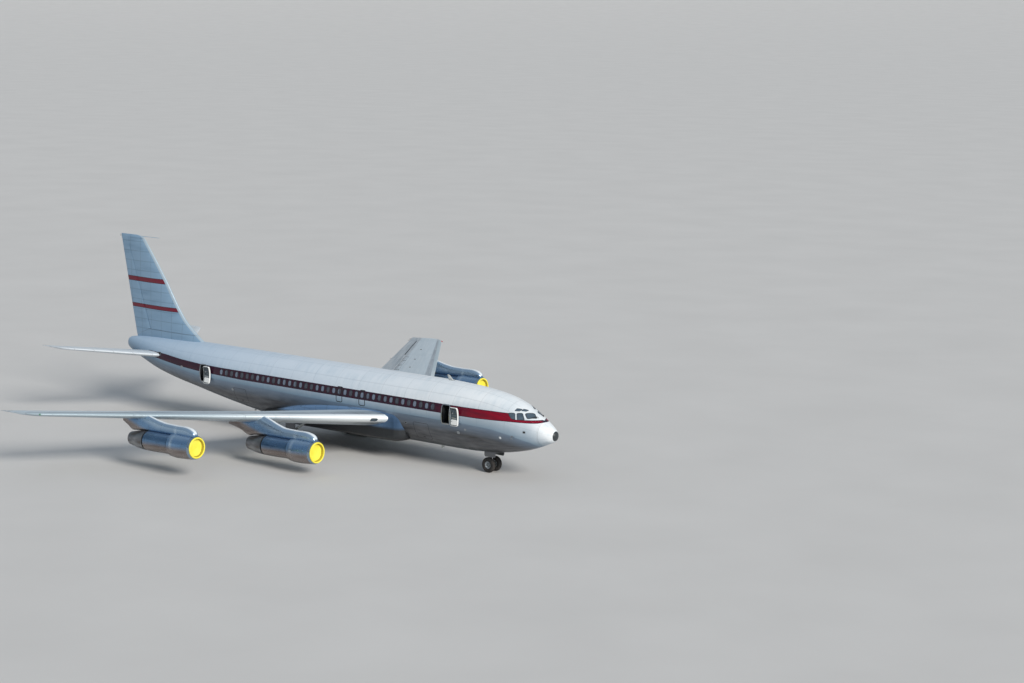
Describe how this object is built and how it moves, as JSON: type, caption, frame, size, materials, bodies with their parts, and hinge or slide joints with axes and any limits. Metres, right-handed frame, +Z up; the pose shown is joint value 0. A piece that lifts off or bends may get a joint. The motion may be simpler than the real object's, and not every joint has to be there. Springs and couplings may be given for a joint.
{
  "type": "four-engined narrow body airliner, 1:2 scale model",
  "caption": "Narrow body airliner with swept wings and podded engines, parked on its gear with inlet covers on and service doors open, as a 1:2 scale model.",
  "frame": {"origin": "on the ground below the middle of the length and span", "axes": "+X forward to the nose, +Y to the port wing tip, +Z up"},
  "size_m": [20.575, 19.94, 6.36],
  "materials": {
    "white_paint": "weathered gloss white paint",
    "bare_aluminium": "bare sheet, dulled by weather",
    "grey_blue_paint": "faded pale grey-blue paint",
    "gear_paint": "grey enamel",
    "tyre_rubber": "dusty black rubber",
    "yellow_canvas": "proofed canvas"
  },
  "bodies": {
    "airframe": {"radome": "white_paint", "forward_fuselage": "white_paint", "centre_fuselage": "white_paint", "aft_fuselage": "white_paint", "tail_fuselage": "white_paint", "service_door_forward": "white_paint", "service_door_aft": "white_paint", "entry_door_forward": "white_paint", "entry_door_aft": "white_paint", "port_inboard_flap": "bare_aluminium", "port_outboard_flap": "bare_aluminium", "port_wing": "bare_aluminium", "starboard_inboard_flap": "bare_aluminium", "starboard_outboard_flap": "bare_aluminium", "starboard_wing": "bare_aluminium", "port_stabilizer": "grey_blue_paint", "starboard_stabilizer": "grey_blue_paint", "fin": "grey_blue_paint", "engine_1_pylon": "bare_aluminium", "engine_1_fan_cowl": "bare_aluminium", "engine_1_core": "bare_aluminium", "engine_1_inlet_cover": "yellow_canvas", "engine_2_pylon": "bare_aluminium", "engine_2_fan_cowl": "bare_aluminium", "engine_2_core": "bare_aluminium", "engine_2_inlet_cover": "yellow_canvas", "engine_3_pylon": "bare_aluminium", "engine_3_fan_cowl": "bare_aluminium", "engine_3_core": "bare_aluminium", "engine_3_inlet_cover": "yellow_canvas", "engine_4_pylon": "bare_aluminium", "engine_4_fan_cowl": "bare_aluminium", "engine_4_core": "bare_aluminium", "engine_4_inlet_cover": "yellow_canvas", "nose_gear_leg": "gear_paint", "nose_gear_door_port": "white_paint", "nose_gear_door_starboard": "white_paint", "port_main_gear_leg": "gear_paint", "port_bogie_beam": "gear_paint", "port_main_gear_door": "white_paint", "starboard_main_gear_leg": "gear_paint", "starboard_bogie_beam": "gear_paint", "starboard_main_gear_door": "white_paint"},
    "port_inboard_aileron": {"port_inboard_aileron": "bare_aluminium"},
    "port_outboard_aileron": {"port_outboard_aileron": "bare_aluminium"},
    "port_elevator": {"port_elevator": "grey_blue_paint"},
    "starboard_inboard_aileron": {"starboard_inboard_aileron": "bare_aluminium"},
    "starboard_outboard_aileron": {"starboard_outboard_aileron": "bare_aluminium"},
    "starboard_elevator": {"starboard_elevator": "grey_blue_paint"},
    "rudder": {"rudder": "grey_blue_paint"},
    "nose_gear_fork": {"nose_gear_fork": "gear_paint"},
    "nose_wheels": {"nose_wheels": "tyre_rubber"},
    "port_aft_main_wheels": {"port_aft_main_wheels": "tyre_rubber"},
    "port_forward_main_wheels": {"port_forward_main_wheels": "tyre_rubber"},
    "starboard_aft_main_wheels": {"starboard_aft_main_wheels": "tyre_rubber"},
    "starboard_forward_main_wheels": {"starboard_forward_main_wheels": "tyre_rubber"}
  },
  "joints": [
    {"name": "port_inboard_aileron_hinge", "type": "hinge", "parent": "airframe", "child": "port_inboard_aileron", "pos_m": [-0.62444, 3.875, 1.31828], "axis": [-0.4836, 0.8712, 0.0849], "range_deg": [-20, 20]},
    {"name": "port_outboard_aileron_hinge", "type": "hinge", "parent": "airframe", "child": "port_outboard_aileron", "pos_m": [-2.56533, 7.45, 1.67011], "axis": [-0.4873, 0.8692, 0.0839], "range_deg": [-20, 20]},
    {"name": "port_elevator_hinge", "type": "hinge", "parent": "airframe", "child": "port_elevator", "pos_m": [-8.54678, 0.675, 2.20275], "axis": [-0.4579, 0.8816, 0.1146], "range_deg": [-15, 25]},
    {"name": "starboard_inboard_aileron_hinge", "type": "hinge", "parent": "airframe", "child": "starboard_inboard_aileron", "pos_m": [-0.62444, -3.875, 1.31828], "axis": [-0.4836, -0.8712, 0.0849], "range_deg": [-20, 20]},
    {"name": "starboard_outboard_aileron_hinge", "type": "hinge", "parent": "airframe", "child": "starboard_outboard_aileron", "pos_m": [-2.56533, -7.45, 1.67011], "axis": [-0.4873, -0.8692, 0.0839], "range_deg": [-20, 20]},
    {"name": "starboard_elevator_hinge", "type": "hinge", "parent": "airframe", "child": "starboard_elevator", "pos_m": [-8.54678, -0.675, 2.20275], "axis": [-0.4579, -0.8816, 0.1146], "range_deg": [-25, 15]},
    {"name": "rudder_hinge", "type": "hinge", "parent": "airframe", "child": "rudder", "pos_m": [-8.25354, 0, 2.99], "axis": [-0.3406, 0, 0.9402], "range_deg": [-25, 25]},
    {"name": "nose_steering", "type": "hinge", "parent": "airframe", "child": "nose_gear_fork", "pos_m": [7.6775, 0, 0.5], "axis": [0, 0, 1], "range_deg": [-55, 55]},
    {"name": "nose_wheels_spin", "type": "hinge", "parent": "nose_gear_fork", "child": "nose_wheels", "pos_m": [7.6775, 0, 0.2475], "axis": [0, 1, 0], "continuous": true},
    {"name": "port_aft_main_wheels_spin", "type": "hinge", "parent": "airframe", "child": "port_aft_main_wheels", "pos_m": [0.1075, 1.6825, 0.2925], "axis": [0, 1, 0], "continuous": true},
    {"name": "port_forward_main_wheels_spin", "type": "hinge", "parent": "airframe", "child": "port_forward_main_wheels", "pos_m": [0.8175, 1.6825, 0.2925], "axis": [0, 1, 0], "continuous": true},
    {"name": "starboard_aft_main_wheels_spin", "type": "hinge", "parent": "airframe", "child": "starboard_aft_main_wheels", "pos_m": [0.1075, -1.6825, 0.2925], "axis": [0, 1, 0], "continuous": true},
    {"name": "starboard_forward_main_wheels_spin", "type": "hinge", "parent": "airframe", "child": "starboard_forward_main_wheels", "pos_m": [0.8175, -1.6825, 0.2925], "axis": [0, 1, 0], "continuous": true}
  ]
}
